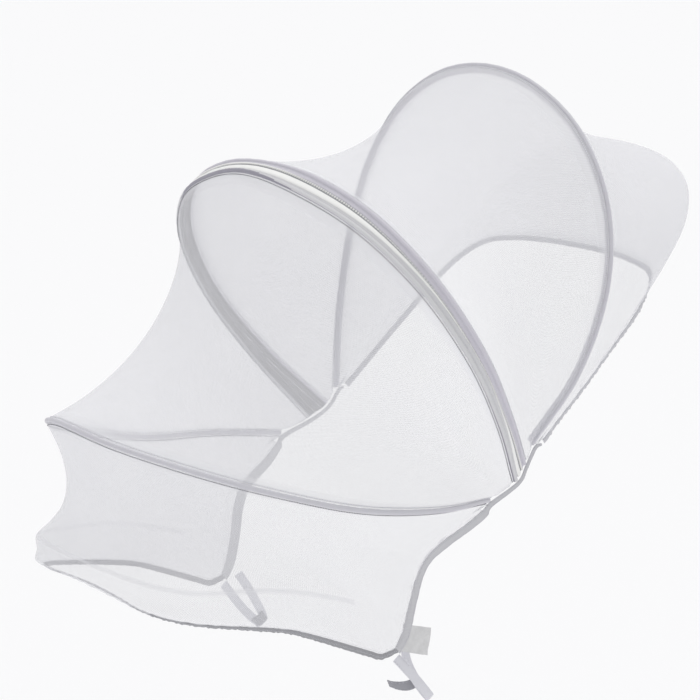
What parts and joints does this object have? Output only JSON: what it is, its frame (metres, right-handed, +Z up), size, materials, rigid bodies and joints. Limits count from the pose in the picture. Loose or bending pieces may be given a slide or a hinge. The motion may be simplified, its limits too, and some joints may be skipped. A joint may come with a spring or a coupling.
{
  "type": "stroller mosquito net",
  "caption": "Fitted mosquito net for a stroller seat, held open by sprung bows, with a zip opening, bound lower edge, elastic hem and fixing straps.",
  "frame": {"origin": "the spot under the top of the rear bow where the net hangs on the stroller's hood", "axes": "+X from the foot end to the head end, +Y to the far side of the picture, +Z up"},
  "size_m": [0.8637, 0.6432, 0.7787],
  "materials": {
    "net": "sheer white polyester mesh",
    "casing": "folded pale grey tape over a wire",
    "casing_shaded": "folded grey tape over a wire",
    "zip_tape": "woven cream tape",
    "zip_coil": "white nylon coil",
    "zip_slider": "pale grey lacquer",
    "binding": "pale grey binding tape",
    "elastic": "grey gathered elastic tape",
    "webbing": "white woven webbing",
    "hook_and_loop": "grey hook-and-loop tape",
    "label": "bare white satin"
  },
  "bodies": {
    "root": {"bow_rear": "casing", "bow_zip_rear": "casing_shaded", "bow_zip_front": "casing", "bow_foot": "casing", "net_top": "net", "net_front": "net", "net_foot": "net", "net_rear": "net", "zip_tape": "zip_tape", "zip_coil": "zip_coil", "zip_slider": "zip_slider", "zip_pull": "zip_slider", "binding_side_near": "binding", "binding_side_far": "binding", "elastic_lower": "elastic", "elastic_rear": "elastic", "strap_near": "webbing", "strap_far": "webbing", "strap_hook_near": "hook_and_loop", "strap_hook_far": "hook_and_loop", "care_label": "label"}
  },
  "joints": []
}
